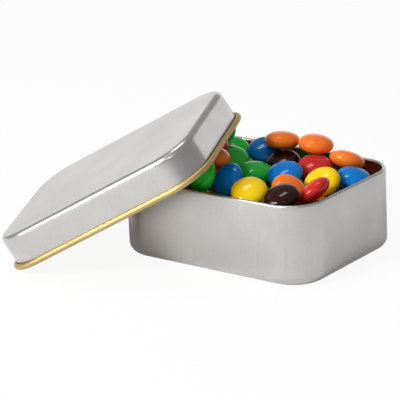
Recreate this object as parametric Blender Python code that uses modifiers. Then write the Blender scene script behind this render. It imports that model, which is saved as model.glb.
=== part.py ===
"""Rectangular slip-lid tin of drawn tinplate, filled with sugar-shelled lentil candies.

The tin stands on its base and is heaped with candies. Its lid is off: the lid's near
left bead stands on the table and the lid leans on the tin's rim. Metres, +Z up, with
the origin at the centre of the tin's underside and +X along its long side.
"""
import math
import random

import bmesh
import bpy
import numpy as np
from mathutils import Matrix, Vector

# Shared
SHEET = 0.0003                 # tinplate thickness
GAP = 0.0003                   # clear gap between pieces that touch

# Tin body
TIN_LENGTH = 0.088
TIN_WIDTH = 0.0652
TIN_HEIGHT = 0.0314
TIN_CORNER_RADIUS = 0.0135     # in plan
TIN_FOOT_RADIUS = 0.0040       # where the wall turns under into the base
RIM_BEAD_RADIUS = 0.0007       # outside radius of the rim, curled inwards
RIM_CURL_DEG = 250

# Slip lid
LID_CLEARANCE = 0.0003         # between the tin's wall and the lid's skirt
LID_DEPTH = 0.0138
LID_EDGE_RADIUS = 0.0024       # outside radius between the plate and the skirt
LID_BEAD_RADIUS = 0.0011       # outside radius of the skirt's edge, curled outwards
LID_CURL_DEG = 295

# The lid's lean
LID_YAW_DEG = 18
LID_TILT_DEG = 29
LID_TILT_STEP_DEG = 8          # it leans steeper by this while a candy keeps it off the rim
LID_BANK_DEG = 7
LID_ACROSS_SHARE = -0.51       # lid's centre from the tin's, as a share of the tin's width

# Candies
CANDY_DIAMETER = 0.0140
CANDY_THICKNESS = 0.0068
BED_SHARE = 0.58               # top of the buried candies' bed, as a share of the tin's height
JITTER_SHARE = 0.05            # of a candy's diameter, in plan
JITTER_TILT_DEG = 8
JITTER_SEED = 3
DRIFT_SHARE = 0.30             # how far a heaped candy may slip into a hollow, of its diameter

# Mesh steps
CORNER_STEPS = 8
FINE_STEPS = 100               # along a side, where the lid's rest is worked out
SHEET_ARC_STEPS = 4
CURL_STEPS = 7
HEAP_SEGMENTS = (14, 8)        # round and from pole to pole
LAID_SEGMENTS = (8, 5)
SKIN_SEGMENTS = (18, 12)       # where a candy's rest is worked out

# The heap: colour, place along and across as shares of the room that a candy's centre
# has inside the rim, tilt of its axis and heading of that tilt in degrees. Each is
# lowered in turn and slips into the nearest hollow.
HEAP_PLACE_SHARES = (
    ("red", 0.60, 0.54, 20, -48),
    ("blue", 0.42, -0.10, 20, -75),
    ("green", 0.06, 0.08, 12, -14),
    ("orange", -0.14, -0.34, 14, 10),
    ("brown", 0.10, 0.62, 18, -75),
    ("brown", 0.70, -0.95, 20, -100),
    ("orange", 0.74, -0.44, 38, -12),
    ("yellow", 0.80, 0.12, 32, -84),
    ("red", 1.00, -0.34, 40, -166),
    ("yellow", 0.31, -1.00, 26, -60),
    ("blue", 0.04, -0.88, 52, -107),
    ("blue", -0.26, 1.00, 26, -50),
    ("green", -0.34, 0.34, 24, -28),
    ("green", -0.66, 0.86, 30, -60),
    ("blue", 1.00, 0.62, 16, -10),
    ("orange", 0.80, 1.00, 24, 80),
    ("orange", 0.44, 0.90, 8, 26),
    ("orange", 0.02, 1.00, 8, 100),
    ("green", -0.12, -0.90, 66, -115),
    ("orange", -0.36, -0.56, 14, 17),
    ("blue", -1.00, 0.20, 10, 150),
    ("red", -0.46, -0.06, 14, -126),
    ("green", -0.64, 0.42, 32, -100),
    ("red", -0.52, -1.00, 24, -50),
    ("yellow", -0.76, -0.36, 12, 40),
)
LAID_COLOURS = ("brown", "orange", "green", "blue", "red", "yellow", "green", "brown", "orange")

# Finishes: base colour, roughness, metallic
FINISHES = {
    "tinplate": ((0.62, 0.61, 0.60, 1.0), 0.30, 1.0),
    "gold_lacquer": ((0.74, 0.58, 0.28, 1.0), 0.26, 1.0),
    "candy_green": ((0.010, 0.36, 0.045, 1.0), 0.16, 0.0),
    "candy_blue": ((0.004, 0.16, 0.52, 1.0), 0.16, 0.0),
    "candy_orange": ((0.92, 0.19, 0.018, 1.0), 0.16, 0.0),
    "candy_yellow": ((0.95, 0.60, 0.006, 1.0), 0.16, 0.0),
    "candy_red": ((0.50, 0.030, 0.024, 1.0), 0.16, 0.0),
    "candy_brown": ((0.035, 0.012, 0.008, 1.0), 0.16, 0.0),
}

# Sizes that follow
BED_TOP = BED_SHARE * TIN_HEIGHT
BED_INSET = SHEET + GAP        # from the tin's outside
LID_INSIDE = LID_CLEARANCE
CANDY_RADIUS = CANDY_DIAMETER / 2
CANDY_HALF = CANDY_THICKNESS / 2
HALF_TIN = np.array([TIN_LENGTH, TIN_WIDTH]) / 2
WALL_ROOM = SHEET + 2 * RIM_BEAD_RADIUS + GAP + CANDY_RADIUS
ROOM = HALF_TIN - WALL_ROOM    # how far a candy's centre can lie from the middle
ROOM_CORNER = max(TIN_CORNER_RADIUS - WALL_ROOM, 0.0)


def clear_scene():
    """Remove whatever the scene holds."""
    for item in list(bpy.data.objects):
        bpy.data.objects.remove(item, do_unlink=True)


def finish(name):
    """The material of a named finish, made once."""
    material = bpy.data.materials.get(name)
    if material is None:
        colour, roughness, metallic = FINISHES[name]
        material = bpy.data.materials.new(name)
        material.use_nodes = True
        shader = material.node_tree.nodes["Principled BSDF"]
        shader.inputs["Base Color"].default_value = colour
        shader.inputs["Roughness"].default_value = roughness
        shader.inputs["Metallic"].default_value = metallic
        material.diffuse_color = colour
    return material


def outline(offset, corner_steps=CORNER_STEPS, side_steps=1):
    """Plan points, anticlockwise, of the tin's rounded rectangle moved out by offset."""
    inset = HALF_TIN - TIN_CORNER_RADIUS
    radius = TIN_CORNER_RADIUS + offset
    corners = []
    for quarter, (side_x, side_y) in enumerate(((1, 1), (-1, 1), (-1, -1), (1, -1))):
        turn = (quarter + np.linspace(0, 1, corner_steps + 1)) * math.pi / 2
        centre = inset * (side_x, side_y)
        corners.append(centre + radius * np.stack([np.cos(turn), np.sin(turn)], axis=1))
    points = np.concatenate(corners)
    if side_steps > 1:
        following = np.roll(points, -1, axis=0)
        shares = np.arange(side_steps)[:, None, None] / side_steps
        points = (points * (1 - shares) + following * shares).reshape(-1, 2)
    return points


def outside_by(points, offset=0.0):
    """How far plan points lie outside the rounded rectangle moved out by offset."""
    beyond = np.abs(points) - (HALF_TIN - TIN_CORNER_RADIUS)
    reach = np.linalg.norm(np.maximum(beyond, 0), axis=-1) + np.minimum(beyond.max(axis=-1), 0)
    return reach - TIN_CORNER_RADIUS - offset


def arc(centre_out, centre_up, radius, start_deg, end_deg, steps):
    """Profile points, as offset and height, along an arc."""
    turns = np.radians(np.linspace(start_deg, end_deg, steps + 1))
    return [(centre_out + radius * math.cos(turn), centre_up + radius * math.sin(turn)) for turn in turns]


def tin_profile():
    """The tin's outside face: under the foot, up the wall and round the rim's curl."""
    foot = arc(-TIN_FOOT_RADIUS, TIN_FOOT_RADIUS, TIN_FOOT_RADIUS, -90, 0, SHEET_ARC_STEPS)
    rim_height = TIN_HEIGHT - RIM_BEAD_RADIUS
    return foot + arc(-RIM_BEAD_RADIUS, rim_height, RIM_BEAD_RADIUS, 0, RIM_CURL_DEG, CURL_STEPS)


def lid_profile():
    """The lid's lacquered inside face, plate at z 0: down the skirt and round the curled edge."""
    edge_radius = LID_EDGE_RADIUS - SHEET
    edge_centre = LID_INSIDE - edge_radius
    edge = arc(edge_centre, -LID_EDGE_RADIUS, edge_radius, 90, 0, SHEET_ARC_STEPS)
    bead_centre = LID_INSIDE + LID_BEAD_RADIUS
    bead_height = LID_BEAD_RADIUS - LID_DEPTH
    return edge + arc(bead_centre, bead_height, LID_BEAD_RADIUS, 180, 180 + LID_CURL_DEG, CURL_STEPS + 1)


def loft(shape, profile):
    """Carry the tin's outline along a profile of offsets and heights, closed at its start."""
    rings = [[shape.verts.new((x, y, height)) for x, y in outline(offset)] for offset, height in profile]
    shape.faces.new(reversed(rings[0]))
    for lower, upper in zip(rings, rings[1:]):
        for here in range(len(lower)):
            after = (here + 1) % len(lower)
            shape.faces.new((lower[here], lower[after], upper[after], upper[here]))
    return rings


def drawn_sheet(name, profile, face_finish, back_finish, collection):
    """One drawn piece: a face lofted round the plan along a profile, given its thickness behind."""
    shape = bmesh.new()
    loft(shape, profile)
    mesh = bpy.data.meshes.new(name)
    shape.to_mesh(mesh)
    shape.free()
    mesh.materials.append(finish(face_finish))
    mesh.materials.append(finish(back_finish))
    piece = bpy.data.objects.new(name, mesh)
    collection.objects.link(piece)
    mesh.shade_smooth()
    mesh.set_sharp_from_angle(angle=math.radians(50))
    solidify = piece.modifiers.new("Sheet", "SOLIDIFY")
    solidify.thickness = SHEET
    solidify.offset = -1
    solidify.use_even_offset = True
    solidify.material_offset = 1
    return piece


def axis_turn(tilt_deg, heading_deg):
    """Turn that leans a candy's axis by tilt towards heading."""
    heading = Matrix.Rotation(math.radians(heading_deg), 3, "Z")
    tilt = Matrix.Rotation(math.radians(tilt_deg), 3, "Y")
    return np.array(heading @ tilt @ heading.transposed())


def room_along(across):
    """How far along a candy's centre can lie at this place across."""
    beyond = min(max(abs(across) - (ROOM[1] - ROOM_CORNER), 0.0), ROOM_CORNER)
    return ROOM[0] - ROOM_CORNER + math.sqrt(ROOM_CORNER ** 2 - beyond ** 2)


def keep_inside(plan):
    """The plan place, drawn in where a candy would meet the rim."""
    across = max(-ROOM[1], min(ROOM[1], plan[1]))
    along = room_along(across)
    return np.array([max(-along, min(along, plan[0])), across])


def rows_of_places(layer):
    """Plan places of one layer's candies, in rows staggered from the next layer's."""
    pitch = CANDY_DIAMETER + GAP
    rows = int(2 * ROOM[1] / pitch) + 1
    places = []
    for row in range(rows):
        across = ROOM[1] * (2 * row / (rows - 1) - 1)
        reach = room_along(across)
        count = int(2 * reach / pitch) + 1
        spacing = 2 * reach / (count - 1)
        short = (row + layer) % 2
        for place in range(count - short):
            places.append((-reach + (place + short / 2) * spacing, across))
    return places


def unit_sphere(segments, rings):
    """Points of a sphere of radius 1, poles and rings."""
    shape = bmesh.new()
    bmesh.ops.create_uvsphere(shape, u_segments=segments, v_segments=rings, radius=1)
    points = np.array([vertex.co[:] for vertex in shape.verts])
    shape.free()
    return points


def last_meeting(offsets, rise, grown):
    """The greatest height at which points, moving by rise, still meet a unit sphere scaled by grown."""
    start = offsets / grown
    speed = rise / grown
    square = (speed ** 2).sum(axis=-1)
    along = (start * speed).sum(axis=-1)
    root = along ** 2 - square * ((start ** 2).sum(axis=-1) - 1)
    heights = (np.sqrt(np.maximum(root, 0)) - along) / square
    return heights[root > 0].max(initial=0.0)


class Heap:
    """The candies lowered so far, each as a centre and a turn."""

    def __init__(self):
        self.semi_axes = np.array([CANDY_RADIUS, CANDY_RADIUS, CANDY_HALF])
        self.skin = unit_sphere(*SKIN_SEGMENTS) * self.semi_axes
        crown = rows_of_places(0)
        self.centres = np.array([(along, across, BED_TOP) for along, across in crown])
        self.turns = np.tile(np.eye(3), (len(crown), 1, 1))

    def rest_height(self, plan, turn):
        """Height at which a candy lowered here meets the floor or the first candy below it."""
        skin = self.skin @ turn.T
        floor = BED_TOP + GAP - skin[:, 2].min()
        apart = np.linalg.norm(self.centres[:, :2] - plan, axis=1)
        near = np.flatnonzero(apart < CANDY_DIAMETER + GAP)
        if not len(near):
            return floor
        centres, turns = self.centres[near], self.turns[near]
        grown = self.semi_axes + GAP
        base = np.append(plan, 0.0)
        offsets = np.einsum("npi,nij->npj", (base + skin)[None] - centres[:, None], turns)
        rise = turns[:, None, 2, :]
        own = last_meeting(offsets, rise, grown)
        others = centres[:, None] + np.einsum("pi,nji->npj", self.skin, turns) - base
        theirs = last_meeting(-others @ turn, turn[2], grown)
        return max(floor, own, theirs)

    def lower(self, plan, tilt_deg, heading_deg, drift=0.0):
        """Lower a candy until it rests, letting it slip into a hollow within drift, and keep it."""
        turn = axis_turn(tilt_deg, heading_deg)
        start = keep_inside(np.array(plan))
        best = (self.rest_height(start, turn), start)
        step = drift / 2
        while step > GAP / 2:
            tries = [best]
            for angle in np.arange(8) * math.pi / 4:
                place = keep_inside(best[1] + step * np.array([math.cos(angle), math.sin(angle)]))
                if np.linalg.norm(place - start) <= drift:
                    tries.append((self.rest_height(place, turn), place))
            lowest = min(tries, key=lambda found: found[0])
            if lowest[0] > best[0] - step * GAP / drift:
                step /= 2
            else:
                best = lowest
        self.centres = np.concatenate([self.centres, [np.append(best[1], best[0])]])
        self.turns = np.concatenate([self.turns, [turn]])
        return len(self.centres) - 1

    def lid_room(self, lid_turn, lid_place):
        """The least room between the candies and the lid's sheet at this turn and place."""
        skins = self.centres[:, None] + np.einsum("pi,nji->npj", self.skin, self.turns)
        local = (skins - lid_place) @ lid_turn
        inside_skirt = -outside_by(local[..., :2], LID_INSIDE)
        outside_bead = outside_by(local[..., :2], LID_INSIDE + 2 * LID_BEAD_RADIUS)
        under_plate = -SHEET - local[..., 2]
        below_edge = -LID_DEPTH - local[..., 2]
        within = np.minimum(inside_skirt, under_plate)
        return np.maximum(np.maximum(within, outside_bead), below_edge).min()


def lean(tilt_deg):
    """The lid's turn as it leans: yaw about Z, right end up, far side up."""
    yaw = Matrix.Rotation(math.radians(LID_YAW_DEG), 3, "Z")
    tilt = Matrix.Rotation(-math.radians(tilt_deg), 3, "Y")
    bank = Matrix.Rotation(math.radians(LID_BANK_DEG), 3, "X")
    return np.array(yaw @ tilt @ bank)


def lid_underside():
    """Close points over the lid's inside face and bead, in the lid's own place."""
    offsets, heights = np.array(lid_profile()).T
    run = np.concatenate([[0], np.cumsum(np.hypot(np.diff(offsets), np.diff(heights)))])
    close = np.union1d(run, np.linspace(0, run[-1], FINE_STEPS // 2))
    rings = []
    for offset, height in zip(np.interp(close, run, offsets), np.interp(close, run, heights)):
        plan = outline(offset, side_steps=FINE_STEPS)
        rings.append(np.column_stack([plan, np.full(len(plan), height)]))
    return np.concatenate(rings)


def lid_margin(turn, place, inside, rim):
    """The least room between the leaning lid and the tin; below zero they overlap."""
    seen = inside @ turn.T + place
    beside = np.maximum(outside_by(seen[:, :2]), seen[:, 2] - TIN_HEIGHT)
    local = (rim - place) @ turn
    under_plate = np.maximum(outside_by(local[:, :2], LID_INSIDE - LID_EDGE_RADIUS), -SHEET - local[:, 2])
    return min(beside.min(), under_plate.min())


def lid_rest(turn, heap):
    """Place of the lid, bead on the table and slid along X until it meets the rim or a candy, and
    its room to the rim."""
    inside = lid_underside()
    plan = np.concatenate([outline(offset, side_steps=FINE_STEPS) for offset in (0.0, -RIM_BEAD_RADIUS)])
    rim = np.column_stack([plan, np.full(len(plan), TIN_HEIGHT)])
    rise = -(inside @ turn.T)[:, 2].min()
    across = LID_ACROSS_SHARE * TIN_WIDTH
    clear, step = -1.5 * TIN_LENGTH, TIN_LENGTH / 2
    while step > GAP / 100:
        place = np.array((clear + step, across, rise))
        if min(lid_margin(turn, place, inside, rim), heap.lid_room(turn, place)) > GAP:
            clear += step
        else:
            step /= 2
    place = np.array((clear, across, rise))
    return place, lid_margin(turn, place, inside, rim)


def lean_lid(heap):
    """Turn and place of the lid, leaning steeper while a candy keeps it off the rim."""
    tilt_deg = LID_TILT_DEG
    turn = lean(tilt_deg)
    place, rim_room = lid_rest(turn, heap)
    while rim_room > 2 * GAP and tilt_deg + LID_TILT_STEP_DEG < 90:
        tilt_deg += LID_TILT_STEP_DEG
        turn = lean(tilt_deg)
        place, rim_room = lid_rest(turn, heap)
    return turn, place


def placed(centre, turn):
    """The matrix that turns a piece and then moves it to its centre."""
    return Matrix.Translation(Vector(centre)) @ Matrix(turn).to_4x4()


def lentils(name, places, segments, colour):
    """One mesh of lentils, each at its place."""
    shape = bmesh.new()
    size = Matrix.Diagonal((CANDY_RADIUS, CANDY_RADIUS, CANDY_HALF, 1))
    for place in places:
        round_steps, pole_steps = segments
        bmesh.ops.create_uvsphere(
            shape, u_segments=round_steps, v_segments=pole_steps, radius=1, matrix=place @ size
        )
    mesh = bpy.data.meshes.new(name)
    shape.to_mesh(mesh)
    shape.free()
    mesh.materials.append(finish("candy_" + colour))
    mesh.shade_smooth()
    return mesh


def add_candy(heap, index, colour, segments, counts, collection):
    """One candy of the heap as its own object, numbered within its colour."""
    counts[colour] = counts.get(colour, 0) + 1
    name = f"candy_{colour}_{counts[colour]}"
    candy = bpy.data.objects.new(name, lentils(name, [Matrix.Identity(4)], segments, colour))
    candy.matrix_world = placed(heap.centres[index], heap.turns[index])
    collection.objects.link(candy)


def bed_profile():
    """The bed's side: inside the tin's foot and up its wall to the bed's top."""
    radius = TIN_FOOT_RADIUS - BED_INSET
    foot = arc(-TIN_FOOT_RADIUS, TIN_FOOT_RADIUS, radius, -90, 0, SHEET_ARC_STEPS)
    return foot + [(-BED_INSET, BED_TOP)]


def candy_bed(collection, cutters):
    """The buried candies as one solid: filled to its top, where the uppermost row stands out."""
    shape = bmesh.new()
    rings = loft(shape, bed_profile())
    shape.faces.new(rings[-1])
    mesh = bpy.data.meshes.new("buried_candies")
    shape.to_mesh(mesh)
    shape.free()
    mesh.materials.append(finish("candy_brown"))
    bed = bpy.data.objects.new("buried_candies", mesh)
    collection.objects.link(bed)
    places = [Matrix.Translation((along, across, BED_TOP)) for along, across in rows_of_places(0)]
    crown = bpy.data.objects.new("bed_crown", lentils("bed_crown", places, LAID_SEGMENTS, "brown"))
    crown.hide_render = True
    crown.display_type = "WIRE"
    cutters.objects.link(crown)
    union = bed.modifiers.new("Crown", "BOOLEAN")
    union.operation = "UNION"
    union.object = crown


def lay_row_layer(heap):
    """A loose flat layer over the bed's crown; index and colour of each candy."""
    chance = random.Random(JITTER_SEED)
    jitter = JITTER_SHARE * CANDY_DIAMETER
    laid = []
    for along, across in rows_of_places(1):
        plan = (along + chance.uniform(-jitter, jitter), across + chance.uniform(-jitter, jitter))
        tilt = chance.uniform(0, JITTER_TILT_DEG)
        index = heap.lower(plan, tilt, chance.uniform(0, 360))
        laid.append((index, LAID_COLOURS[len(laid) % len(LAID_COLOURS)]))
    return laid


def main():
    clear_scene()
    collection = bpy.data.collections.new("candy_tin")
    cutters = bpy.data.collections.new("cutters")
    bpy.context.scene.collection.children.link(collection)
    bpy.context.scene.collection.children.link(cutters)

    drawn_sheet("tin_body", tin_profile(), "tinplate", "gold_lacquer", collection)
    candy_bed(collection, cutters)
    heap = Heap()
    counts = {}
    for index, colour in lay_row_layer(heap):
        add_candy(heap, index, colour, LAID_SEGMENTS, counts, collection)
    for colour, along, across, tilt, heading in HEAP_PLACE_SHARES:
        index = heap.lower(ROOM * (along, across), tilt, heading, DRIFT_SHARE * CANDY_DIAMETER)
        add_candy(heap, index, colour, HEAP_SEGMENTS, counts, collection)

    turn, place = lean_lid(heap)
    lid = drawn_sheet("slip_lid", lid_profile(), "gold_lacquer", "tinplate", collection)
    lid.matrix_world = placed(place, turn)
    room = heap.lid_room(turn, place) * 1000
    print(f"{sum(counts.values())} separate candies, room under the lid {room:.1f} mm")


main()
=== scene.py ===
import math

import bpy
import numpy as np
from mathutils import Matrix, Vector


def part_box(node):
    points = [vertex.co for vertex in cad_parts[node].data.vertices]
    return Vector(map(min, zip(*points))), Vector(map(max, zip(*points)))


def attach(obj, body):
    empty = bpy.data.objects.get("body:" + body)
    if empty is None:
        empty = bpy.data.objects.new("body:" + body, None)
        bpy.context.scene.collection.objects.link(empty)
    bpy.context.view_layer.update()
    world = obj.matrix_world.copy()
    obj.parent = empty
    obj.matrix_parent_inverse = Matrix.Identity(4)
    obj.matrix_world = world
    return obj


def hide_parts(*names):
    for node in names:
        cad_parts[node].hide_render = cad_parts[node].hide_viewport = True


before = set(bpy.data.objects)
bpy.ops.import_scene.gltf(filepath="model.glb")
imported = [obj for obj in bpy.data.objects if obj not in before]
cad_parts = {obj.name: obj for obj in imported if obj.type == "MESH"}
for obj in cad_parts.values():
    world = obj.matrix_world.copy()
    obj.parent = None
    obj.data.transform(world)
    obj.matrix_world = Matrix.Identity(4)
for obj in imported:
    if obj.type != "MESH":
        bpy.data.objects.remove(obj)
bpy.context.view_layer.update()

print("frame loaded:", len(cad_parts), "nodes")


def addObject(name, data):
    thing = bpy.data.objects.new(name, data)
    bpy.context.scene.collection.objects.link(thing)
    return thing


cameraView = {
    "azimuthDeg": 37.8,       # from the front, round to the right
    "elevationDeg": 18.2,
    "rollDeg": -2.8,
    "distance": 0.88,         # from the plane through the tin's underside centre
    "aimRight": -0.0224,      # the point aimed at, from that centre, in the picture's plane
    "aimUp": 0.0180,
    "focalPixels": 2290,      # for a picture 400 pixels wide
    "pictureWidth": 400,
    "sensorWidth": 36,
}


# The camera's three directions: back points from the tin to the camera at the azimuth and
# the elevation, and right and up lie across it, turned about it by the roll.
def makeCamera(view):
    azimuth, elevation, roll = (
        math.radians(view[key]) for key in ("azimuthDeg", "elevationDeg", "rollDeg")
    )
    back = np.array([
        math.sin(azimuth) * math.cos(elevation),
        -math.cos(azimuth) * math.cos(elevation),
        math.sin(elevation),
    ])
    flat = np.array([math.cos(azimuth), math.sin(azimuth), 0.0])
    rise = np.cross(back, flat)
    right = math.cos(roll) * flat + math.sin(roll) * rise
    up = math.cos(roll) * rise - math.sin(roll) * flat
    place = view["aimRight"] * right + view["aimUp"] * up + view["distance"] * back
    data = bpy.data.cameras.new("tinCamera")
    data.sensor_width = view["sensorWidth"]
    data.lens = view["focalPixels"] / view["pictureWidth"] * view["sensorWidth"]
    camera = addObject("tinCamera", data)
    turn = Matrix((right, up, back)).transposed().to_4x4()
    camera.matrix_world = Matrix.Translation(Vector(place)) @ turn
    bpy.context.scene.camera = camera


makeCamera(cameraView)
print("camera placed")


# Links each input to the socket given for it, or sets it to the number or colour given.
def setInputs(tree, inputs, values):
    for key, value in values.items():
        if isinstance(value, bpy.types.NodeSocket):
            tree.links.new(value, inputs[key])
        else:
            inputs[key].default_value = value


def addNode(tree, kind, values, **settings):
    node = tree.nodes.new(kind)
    for key, value in settings.items():
        setattr(node, key, value)
    setInputs(tree, node.inputs, values)
    return node


def noiseOf(tree, position, values):
    return addNode(tree, "ShaderNodeTexNoise", {"Vector": position, **values}).outputs["Fac"]


# The value's place in the span, from 0 at "From Min" to 1, or "To Max", at "From Max".
def spanOf(tree, value, span):
    return addNode(tree, "ShaderNodeMapRange", {"Value": value, **span}).outputs[0]


def mathOf(tree, operation, first, second):
    return addNode(tree, "ShaderNodeMath", {0: first, 1: second}, operation=operation).outputs[0]


# The first at a share of 0, the second at a share of 1. The kind is FLOAT or RGBA.
def mixOf(tree, kind, share, first, second):
    values = {"Factor": share, "A": first, "B": second}
    return addNode(tree, "ShaderNodeMix", values, data_type=kind).outputs["Result"]


# An empty node group, with the sockets that it is given and the sockets that it fills.
def newGroup(name, given, filled):
    group = bpy.data.node_groups.new(name, "ShaderNodeTree")
    for direction, sockets in (("INPUT", given), ("OUTPUT", filled)):
        for label, kind in sockets.items():
            group.interface.new_socket(
                name=label, in_out=direction, socket_type="NodeSocket" + kind
            )
    givenNode = group.nodes.new("NodeGroupInput")
    filledNode = group.nodes.new("NodeGroupOutput")
    return group, givenNode.outputs, filledNode.inputs


finishSockets = {"Color": "Color", "Roughness": "Float", "Height": "Float"}

satinPattern = {
    "even": {"Scale": 2600, "Detail": 3},
    "streak": {"Scale": 1500, "Detail": 3},
    "streakStretch": (1.0, 1.0, 0.05),      # drawn out along the sheet's height
    "streakShare": 0.45,
    "smudge": {"Scale": 55, "Detail": 4},
    "smudgeSpan": {"From Min": 0.3, "From Max": 0.7},
    "fleckSpan": {"From Min": 0.58, "From Max": 0.86},
}


# Fine satin grain of rolled tinplate: the relief is an even noise plus a share of a noise
# drawn out along the sheet's height. The shade follows broad smudges mixed with the
# relief's flecks, and the smudges times the spread are added to the roughness.
def makeSatinGrain():
    group, given, filled = newGroup("satinGrain", {
        "Position": "Vector", "Base": "Color", "Shade": "Color",
        "Fleck": "Float", "Roughness": "Float", "Spread": "Float",
    }, finishSockets)
    position = given["Position"]
    even = noiseOf(group, position, satinPattern["even"])
    stretched = addNode(group, "ShaderNodeMapping", {
        "Vector": position, "Scale": satinPattern["streakStretch"],
    })
    streak = noiseOf(group, stretched.outputs[0], satinPattern["streak"])
    streakPart = mathOf(group, "MULTIPLY", streak, satinPattern["streakShare"])
    relief = mathOf(group, "ADD", even, streakPart)
    fleck = spanOf(group, relief, satinPattern["fleckSpan"])
    smudgeNoise = noiseOf(group, position, satinPattern["smudge"])
    smudge = spanOf(group, smudgeNoise, satinPattern["smudgeSpan"])
    shadeShare = mixOf(group, "FLOAT", given["Fleck"], smudge, fleck)
    swing = mathOf(group, "MULTIPLY", smudge, given["Spread"])
    setInputs(group, filled, {
        "Color": mixOf(group, "RGBA", shadeShare, given["Base"], given["Shade"]),
        "Roughness": mathOf(group, "ADD", given["Roughness"], swing),
        "Height": relief,
    })
    return group


shellPattern = {
    "tone": {"Scale": 170, "Detail": 3},
    "toneSpan": {"From Min": 0.35, "From Max": 0.65},
    "speck": {"Scale": 1400, "Detail": 5, "Roughness": 0.7},
    "scuffSpan": {"From Min": 0.56, "From Max": 0.78, "To Max": 0.40},
    "scuffDulling": 0.05,                   # times the scuff's share, added to the roughness
    "dimple": {"Scale": 420, "Detail": 2},
}


# Sugar shell: two close tones mixed by a broad noise, pale scuffs laid over them where a
# fine noise is high, which add to the roughness, and shallow dimples for the relief.
def makeSugarShell():
    group, given, filled = newGroup("sugarShell", {
        "Position": "Vector", "Base": "Color", "Deep": "Color", "Scuff": "Color",
        "Roughness": "Float",
    }, finishSockets)
    tone, speck, dimple = (
        noiseOf(group, given["Position"], shellPattern[key]) for key in ("tone", "speck", "dimple")
    )
    toneShare = spanOf(group, tone, shellPattern["toneSpan"])
    scuffShare = spanOf(group, speck, shellPattern["scuffSpan"])
    shell = mixOf(group, "RGBA", toneShare, given["Base"], given["Deep"])
    dulling = mathOf(group, "MULTIPLY", scuffShare, shellPattern["scuffDulling"])
    setInputs(group, filled, {
        "Color": mixOf(group, "RGBA", scuffShare, shell, given["Scuff"]),
        "Roughness": mathOf(group, "ADD", given["Roughness"], dulling),
        "Height": dimple,
    })
    return group


def newMaterial(name):
    material = bpy.data.materials.new(name)
    material.use_nodes = True
    return material, material.node_tree, material.node_tree.nodes["Principled BSDF"]


# A material in which a finish group gives the colour and the roughness, and its height
# goes through a bump. The constants are set on the shader's own sockets.
def makeMaterial(name, group, given, finish, constants):
    material, tree, shader = newMaterial(name)
    position = addNode(tree, "ShaderNodeTexCoord", {}).outputs["Object"]
    values = {"Position": position, "Roughness": finish["roughness"], **given}
    look = addNode(tree, "ShaderNodeGroup", values, node_tree=group).outputs
    bump = addNode(tree, "ShaderNodeBump", {
        "Strength": finish["bump"], "Distance": finish["bumpDepth"], "Height": look["Height"],
    })
    setInputs(tree, shader.inputs, {
        "Base Color": look["Color"], "Roughness": look["Roughness"],
        "Normal": bump.outputs[0], **constants,
    })
    return material


metalFinish = {
    "tinplate": {
        "base": (0.655, 0.64, 0.625, 1), "shade": (0.55, 0.535, 0.525, 1), "fleck": 0.45,
        "roughness": 0.31, "spread": 0.03, "bump": 0.12, "bumpDepth": 0.00003,
    },
    "goldLacquer": {
        "base": (0.60, 0.455, 0.215, 1), "shade": (0.52, 0.38, 0.165, 1), "fleck": 0.15,
        "roughness": 0.52, "spread": 0.03, "bump": 0.02, "bumpDepth": 0.00002,
    },
    # Painted shade: the tin's inside has the same gold lacquer as the lid's inside, made darker
    # here to stand in for the shade inside the tin.
    "shadedInnerLacquer": {
        "base": (0.40, 0.29, 0.15, 1), "shade": (0.33, 0.23, 0.11, 1), "fleck": 0.15,
        "roughness": 0.36, "spread": 0.03, "bump": 0.02, "bumpDepth": 0.00002,
    },
}
shellFinish = {"roughness": 0.13, "bump": 0.025, "bumpDepth": 0.0002, "specular": 0.24}
candyColours = {
    "green": {
        "base": (0.026, 0.66, 0.060, 1), "deep": (0.016, 0.57, 0.045, 1),
        "scuff": (0.14, 0.66, 0.16, 1),
    },
    "blue": {
        "base": (0.0, 0.21, 0.66, 1), "deep": (0.0, 0.17, 0.56, 1),
        "scuff": (0.05, 0.32, 0.74, 1),
    },
    "orange": {
        "base": (1.0, 0.225, 0.022, 1), "deep": (0.96, 0.185, 0.016, 1),
        "scuff": (1.0, 0.36, 0.14, 1),
    },
    "yellow": {
        "base": (1.0, 0.68, 0.003, 1), "deep": (1.0, 0.60, 0.002, 1),
        "scuff": (1.0, 0.76, 0.14, 1),
    },
    "red": {
        "base": (0.60, 0.026, 0.020, 1), "deep": (0.52, 0.020, 0.016, 1),
        "scuff": (0.70, 0.12, 0.10, 1),
    },
    "brown": {
        "base": (0.023, 0.0046, 0.0024, 1), "deep": (0.015, 0.0030, 0.0016, 1),
        "scuff": (0.045, 0.016, 0.011, 1),
    },
}


def makeMetal(name):
    finish = metalFinish[name]
    given = {key.capitalize(): finish[key] for key in ("base", "shade", "fleck", "spread")}
    return makeMaterial(name, satinGrain, given, finish, {"Metallic": 1.0})


def makeCandyMaterial(colour):
    given = {key.capitalize(): value for key, value in candyColours[colour].items()}
    constants = {"Specular IOR Level": shellFinish["specular"]}
    return makeMaterial(colour + "SugarShell", sugarShell, given, shellFinish, constants)


satinGrain = makeSatinGrain()
sugarShell = makeSugarShell()
metals = {name: makeMetal(name) for name in metalFinish}
candyMaterials = {colour: makeCandyMaterial(colour) for colour in candyColours}
print("materials made")


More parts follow.
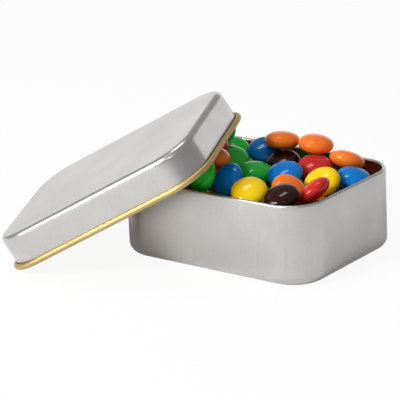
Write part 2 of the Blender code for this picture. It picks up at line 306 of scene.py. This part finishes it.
# A mesh from points on a grid that is closed round its second direction: quads between
# the rings, and a fan to a pole at each end.
def closedSkin(name, rings, poles, materials, ringMaterials=None):
    ringCount, around = rings.shape[:2]
    points = np.concatenate([rings.reshape(-1, 3), poles])
    here = np.arange(around)
    after = (here + 1) % around
    starts = np.arange(ringCount - 1)[:, None] * around
    quads = np.stack([
        starts + here, starts + after, starts + around + after, starts + around + here,
    ], axis=-1).reshape(-1, 4)
    firstPole = ringCount * around
    lastRing = firstPole - around
    firstFan = np.stack([np.full(around, firstPole), after, here], axis=-1)
    lastFan = np.stack([
        np.full(around, firstPole + 1), lastRing + here, lastRing + after,
    ], axis=-1)
    mesh = bpy.data.meshes.new(name)
    mesh.from_pydata(points.tolist(), [], quads.tolist() + firstFan.tolist() + lastFan.tolist())
    for material in materials:
        mesh.materials.append(material)
    if ringMaterials is not None:
        bands = [*ringMaterials[:-1], ringMaterials[0], ringMaterials[-1]]
        slots = np.repeat(bands, around).astype(np.int32)
        mesh.polygons.foreach_set("material_index", slots)
    mesh.polygons.foreach_set("use_smooth", np.ones(len(mesh.polygons), dtype=bool))
    mesh.update()
    return addObject(name, mesh)


tinShape = {
    "length": 0.088, "width": 0.0652, "height": 0.0314, "cornerRadius": 0.0135,
    "footRadius": 0.0040, "rimRadius": 0.0007, "rimCurlDeg": 250, "sheet": 0.0003,
    "cornerSteps": 24, "sideSteps": 10, "arcSteps": 12, "curlSteps": 20, "wallRings": 7,
    "plateShares": (0.04, 0.25, 0.5, 0.75, 0.92),      # rings of a flat plate
}


# Plan outline: four corner arcs moved out by an offset, with the straight sides divided.
def planOutline(offset):
    inset = np.array([tinShape["length"], tinShape["width"]]) / 2 - tinShape["cornerRadius"]
    turns = np.linspace(0, math.pi / 2, tinShape["cornerSteps"] + 1)
    radius = tinShape["cornerRadius"] + offset
    arcs = []
    for quarter, side in enumerate(((1, 1), (-1, 1), (-1, -1), (1, -1))):
        angles = turns + quarter * math.pi / 2
        arcs.append(inset * side + radius * np.stack([np.cos(angles), np.sin(angles)], axis=1))
    shares = np.arange(1, tinShape["sideSteps"])[:, None] / tinShape["sideSteps"]
    pieces = []
    for arc, nextArc in zip(arcs, arcs[1:] + arcs[:1]):
        pieces += [arc, arc[-1] * (1 - shares) + nextArc[0] * shares]
    return np.concatenate(pieces)


# Part of a profile: points on a circle round one middle, from the start to the end angle.
def arcProfile(out, up, radius, startDeg, endDeg, steps):
    turns = np.radians(np.linspace(startDeg, endDeg, steps + 1))
    return np.stack([out + radius * np.cos(turns), up + radius * np.sin(turns)], axis=1)


# Part of a profile: points evenly between two heights, without the two ends.
def wallProfile(out, startUp, endUp, rings):
    return np.column_stack([np.full(rings, out), np.linspace(startUp, endUp, rings + 2)[1:-1]])


# The sheet's two faces as one profile: the face itself, then back along the face moved
# by the sheet's thickness along the profile's normal.
def sheetProfile(face):
    along = np.gradient(face, axis=0)
    normal = np.stack([along[:, 1], -along[:, 0]], axis=1)
    normal /= np.linalg.norm(normal, axis=1)[:, None]
    return np.concatenate([face, (face - normal * tinShape["sheet"])[::-1]])


# The outline moved out by an offset and shrunk to a share, at one height.
def levelRing(out, up, share=1.0):
    ring = planOutline(out) * share
    return np.column_stack([ring, np.full(len(ring), up)])


# Skin of a drawn sheet: the plate's rings grow from its middle, the rest follow the
# outline moved out by the profile's offset, and the plate's rings close the other face.
# Then every point is turned and moved to its place.
def drawnPiece(name, face, materials, turn=np.eye(3), place=(0, 0, 0)):
    profile = sheetProfile(face)
    plateShares = tinShape["plateShares"]
    rings = [levelRing(*profile[0], share) for share in plateShares]
    rings += [levelRing(out, up) for out, up in profile]
    rings += [levelRing(*profile[-1], share) for share in plateShares[::-1]]
    poles = np.array([[0, 0, profile[0][1]], [0, 0, profile[-1][1]]])
    ringMaterials = (np.arange(len(rings)) >= len(plateShares) + len(face)).astype(int)
    return closedSkin(
        name, np.array(rings) @ turn.T + place, poles @ turn.T + place, materials, ringMaterials
    )


# The tin's outer face, from the base outwards and up: foot arc, wall, rim curled inwards.
def makeTin():
    foot, rim = tinShape["footRadius"], tinShape["rimRadius"]
    rimUp = tinShape["height"] - rim
    face = np.concatenate([
        arcProfile(-foot, foot, foot, -90, 0, tinShape["arcSteps"]),
        wallProfile(0, foot, rimUp, tinShape["wallRings"]),
        arcProfile(-rim, rimUp, rim, 0, tinShape["rimCurlDeg"], tinShape["curlSteps"]),
    ])
    # The inner face takes the darker copy of the gold lacquer, which is painted shade inside the
    # tin.
    piece = drawnPiece("tinShell", face, [metals["tinplate"], metals["shadedInnerLacquer"]])
    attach(piece, "tin")
    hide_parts("tin_body")


lidShape = {
    "clearance": 0.0003, "depth": 0.0138, "edgeRadius": 0.0024,
    "beadRadius": 0.0011, "curlDeg": 295, "skirtRings": 5,
    "yawDeg": 18, "tiltDeg": 29, "bankDeg": 7,
}


def axisTurn(axis, degrees):
    return np.array(Matrix.Rotation(math.radians(degrees), 3, axis))


# The lid's inner face, from the plate outwards and down: edge arc, skirt, edge curled
# outwards. The lid is turned by its three angles, then moved until its lowest corner
# lies on the lowest corner of the node's box.
def makeLid():
    clearance, bead = lidShape["clearance"], lidShape["beadRadius"]
    edge = lidShape["edgeRadius"] - tinShape["sheet"]
    edgeUp = -lidShape["edgeRadius"]
    beadUp = bead - lidShape["depth"]
    curlEnd = 180 + lidShape["curlDeg"]
    face = np.concatenate([
        arcProfile(clearance - edge, edgeUp, edge, 90, 0, tinShape["arcSteps"]),
        wallProfile(clearance, edgeUp, beadUp, lidShape["skirtRings"]),
        arcProfile(clearance + bead, beadUp, bead, 180, curlEnd, tinShape["curlSteps"]),
    ])
    yaw = axisTurn("Z", lidShape["yawDeg"])
    tilt = axisTurn("Y", -lidShape["tiltDeg"])
    bank = axisTurn("X", lidShape["bankDeg"])
    turn = yaw @ tilt @ bank
    outline = np.concatenate([levelRing(out, up) for out, up in sheetProfile(face)])
    place = np.array(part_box("slip_lid")[0]) - (outline @ turn.T).min(axis=0)
    materials = [metals["goldLacquer"], metals["tinplate"]]
    piece = drawnPiece("lidShell", face, materials, turn, place)
    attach(piece, "lid")
    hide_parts("slip_lid")


makeTin()
makeLid()
print("tin and lid made")

candyShape = {
    "diameter": 0.0140, "thickness": 0.0068,
    "fullness": 2.12,          # power of the side's curve, 2 is an ellipse
    "wobble": 0.012,           # depth of the wave round the edge, share of the radius
    "upright": 0.9,            # height of an axis of length 1 that counts as upright
    "around": 48, "upward": 26, "seed": 5,
}


# Lentil: radius and height follow a superellipse from pole to pole. The radius shrinks a
# little round the edge, by a wave of two crests plus half a wave of three.
def lentilRings(random, around, upward):
    rise = np.linspace(-math.pi / 2, math.pi / 2, upward + 1)[1:-1]
    turn = np.linspace(0, 2 * math.pi, around, endpoint=False)
    power = 2 / candyShape["fullness"]
    tip = candyShape["thickness"] / 2
    radius = candyShape["diameter"] / 2 * np.cos(rise) ** power
    height = tip * np.sign(np.sin(rise)) * np.abs(np.sin(rise)) ** power
    phase = random.uniform(0, 2 * math.pi, 2)
    waves = 1.5 - np.cos(2 * turn + phase[0]) - 0.5 * np.cos(3 * turn + phase[1])
    swell = 1 - candyShape["wobble"] * waves / 2
    rings = np.stack([
        radius[:, None] * np.cos(turn) * swell,
        radius[:, None] * np.sin(turn) * swell,
        height[:, None] * np.ones(around),
    ], axis=-1)
    return rings, np.array([[0, 0, -tip], [0, 0, tip]])


def nodePoints(node):
    mesh = bpy.data.objects[node].data
    points = np.empty(3 * len(mesh.vertices))
    mesh.vertices.foreach_get("co", points)
    return points.reshape(-1, 3)


# Middle and turn of a candy's solid: its axis is the direction in which it is thinnest,
# and its middle is halfway along that axis.
def solidPose(node):
    points = nodePoints(node)
    middle = points.mean(axis=0)
    axis = np.linalg.eigh(np.cov((points - middle).T))[1][:, 0]
    along = (points - middle) @ axis
    middle = middle + axis * (along.max() + along.min()) / 2
    upright = abs(axis[2]) >= candyShape["upright"]
    side = np.cross(axis, [1.0, 0.0, 0.0] if upright else [0.0, 0.0, 1.0])
    side /= np.linalg.norm(side)
    return middle, np.stack([side, np.cross(axis, side), axis], axis=1)


def makeCandies(random):
    nodes = sorted(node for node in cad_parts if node.startswith("candy_"))
    for node in nodes:
        colour, number = node.split("_")[1:]
        middle, turn = solidPose(node)
        rings, poles = lentilRings(random, candyShape["around"], candyShape["upward"])
        piece = closedSkin(
            "candy" + colour.capitalize() + number,
            rings @ turn.T + middle, poles @ turn.T + middle, [candyMaterials[colour]],
        )
        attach(piece, "tin")
        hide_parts(node)
    return len(nodes)


buriedShape = {
    "around": 24, "upward": 12, "layerStep": 0.00595, "layers": 3,
    "tipDepth": 1e-5, "decimals": 5,      # what counts as one tip of the crown, in metres
    "colours": ("brown", "green", "orange", "blue", "yellow", "red", "orange"),
}


# The buried candies: the solid's crown gives the top layer's places, and each layer
# below lies between the places of the one above.
def buriedPlaces():
    points = nodePoints("buried_candies")
    top = points[:, 2].max()
    crown = points[points[:, 2] > top - buriedShape["tipDepth"]]
    tips = np.unique(np.round(crown[:, :2], buriedShape["decimals"]), axis=0)
    between = []
    for across in np.unique(tips[:, 1]):
        row = np.sort(tips[tips[:, 1] == across][:, 0])
        between += [(along, across) for along in (row[1:] + row[:-1]) / 2]
    level = top - candyShape["thickness"] / 2
    places = []
    for layer in range(buriedShape["layers"]):
        for along, across in (tips, between)[layer % 2]:
            places.append((along, across, level - layer * buriedShape["layerStep"]))
    return places


def joinPieces(pieces, name):
    with bpy.context.temp_override(active_object=pieces[0], selected_editable_objects=pieces):
        bpy.ops.object.join()
    pieces[0].name = name
    return pieces[0]


# The places take the colours in turn, and the lentils of one colour become one piece.
def makeBuried(random):
    groups = {}
    for index, place in enumerate(buriedPlaces()):
        colour = buriedShape["colours"][index % len(buriedShape["colours"])]
        groups.setdefault(colour, []).append(place)
    for colour, places in groups.items():
        lentils = []
        for place in places:
            rings, poles = lentilRings(random, buriedShape["around"], buriedShape["upward"])
            lentils.append(
                closedSkin("lentil", rings + place, poles + place, [candyMaterials[colour]])
            )
        joined = joinPieces(lentils, "buried" + colour.capitalize())
        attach(joined, "tin")
        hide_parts("buried_candies")


shellRandom = np.random.default_rng(candyShape["seed"])
print("candies made:", makeCandies(shellRandom))
makeBuried(shellRandom)
print("buried candies made")

stage = {
    "floorSize": 6.0, "floorColour": (0.86, 0.86, 0.86, 1), "floorRoughness": 0.9,
    "worldColour": (0.97, 0.98, 1.0, 1), "worldStrength": 0.30,
    "cameraWhite": 0.92,                          # share of white that the camera sees
    "floorMirror": 0.14, "worldMirror": 0.06,     # shares of white in reflections
    "white": {"Color": (1, 1, 1, 1), "Strength": 1.0},
}


# The share of white that a surface shows: one share to the camera, another in reflections
# and through clear pieces, none to the light that it gives.
def whiteShare(tree, mirrorShare):
    path = addNode(tree, "ShaderNodeLightPath", {}).outputs
    mirrored = mathOf(tree, "MAXIMUM", path["Is Glossy Ray"], path["Is Transmission Ray"])
    mirrorPart = mathOf(tree, "MULTIPLY", mirrored, mirrorShare)
    cameraPart = mathOf(tree, "MULTIPLY", path["Is Camera Ray"], stage["cameraWhite"])
    return mathOf(tree, "ADD", mirrorPart, cameraPart)


# The output shows the lit shader, mixed with plain white by the share of white.
def showWhite(tree, output, lit, whiteKind, mirrorShare):
    white = addNode(tree, whiteKind, stage["white"])
    mix = addNode(tree, "ShaderNodeMixShader", {
        0: whiteShare(tree, mirrorShare), 1: lit.outputs[0], 2: white.outputs[0],
    })
    tree.links.new(mix.outputs[0], tree.nodes[output].inputs["Surface"])


def makeFloor():
    half = stage["floorSize"] / 2
    corners = [(-half, -half, 0), (half, -half, 0), (half, half, 0), (-half, half, 0)]
    mesh = bpy.data.meshes.new("floor")
    mesh.from_pydata(corners, [], [(0, 1, 2, 3)])
    floor = addObject("floor", mesh)
    material, tree, shader = newMaterial("paleFloor")
    setInputs(tree, shader.inputs, {
        "Base Color": stage["floorColour"], "Roughness": stage["floorRoughness"],
        "Specular IOR Level": 0.0,
    })
    showWhite(tree, "Material Output", shader, "ShaderNodeEmission", stage["floorMirror"])
    mesh.materials.append(material)


def makeWorld():
    world = bpy.data.worlds.new("studio")
    world.use_nodes = True
    tree = world.node_tree
    ground = tree.nodes["Background"]
    setInputs(tree, ground.inputs, {
        "Color": stage["worldColour"], "Strength": stage["worldStrength"],
    })
    showWhite(tree, "World Output", ground, "ShaderNodeBackground", stage["worldMirror"])
    bpy.context.scene.world = world


lampAim = (0, 0, 0.02)      # the point that every lamp faces, inside the tin
lamps = {
    "key": {
        "place": (-0.35, -0.67, 0.43), "size": (0.26, 0.26), "watts": 4.5,
        "colour": (1.0, 0.985, 0.96),
    },
    "fill": {
        "place": (-0.14, -0.74, 0.50), "size": (0.13, 0.13), "watts": 3.0,
        "colour": (0.99, 0.99, 1.0),
    },
    "glint": {
        "place": (0.46, -0.56, 0.50), "size": (0.06, 0.06), "watts": 0.4,
        "colour": (0.98, 0.99, 1.0),
    },
    "top": {
        "place": (-0.20, 0.06, 0.84), "size": (0.30, 0.14), "watts": 1.25,
        "colour": (1.0, 1.0, 1.0),
    },
    "back": {
        "place": (-0.80, 1.40, 0.30), "size": (3.00, 0.56), "watts": 4.7,
        "colour": (1.0, 1.0, 1.0),
    },
}


def makeLamps():
    for name, values in lamps.items():
        data = bpy.data.lights.new(name, "AREA")
        data.shape = "RECTANGLE"
        data.size, data.size_y = values["size"]
        data.energy = values["watts"]
        data.color = values["colour"]
        lamp = addObject(name, data)
        lamp.location = values["place"]
        towards = Vector(lampAim) - Vector(values["place"])
        lamp.rotation_euler = towards.to_track_quat("-Z", "Y").to_euler()


makeFloor()
makeWorld()
makeLamps()
bpy.context.scene.view_settings.view_transform = "Standard"
print("stage and lamps set")
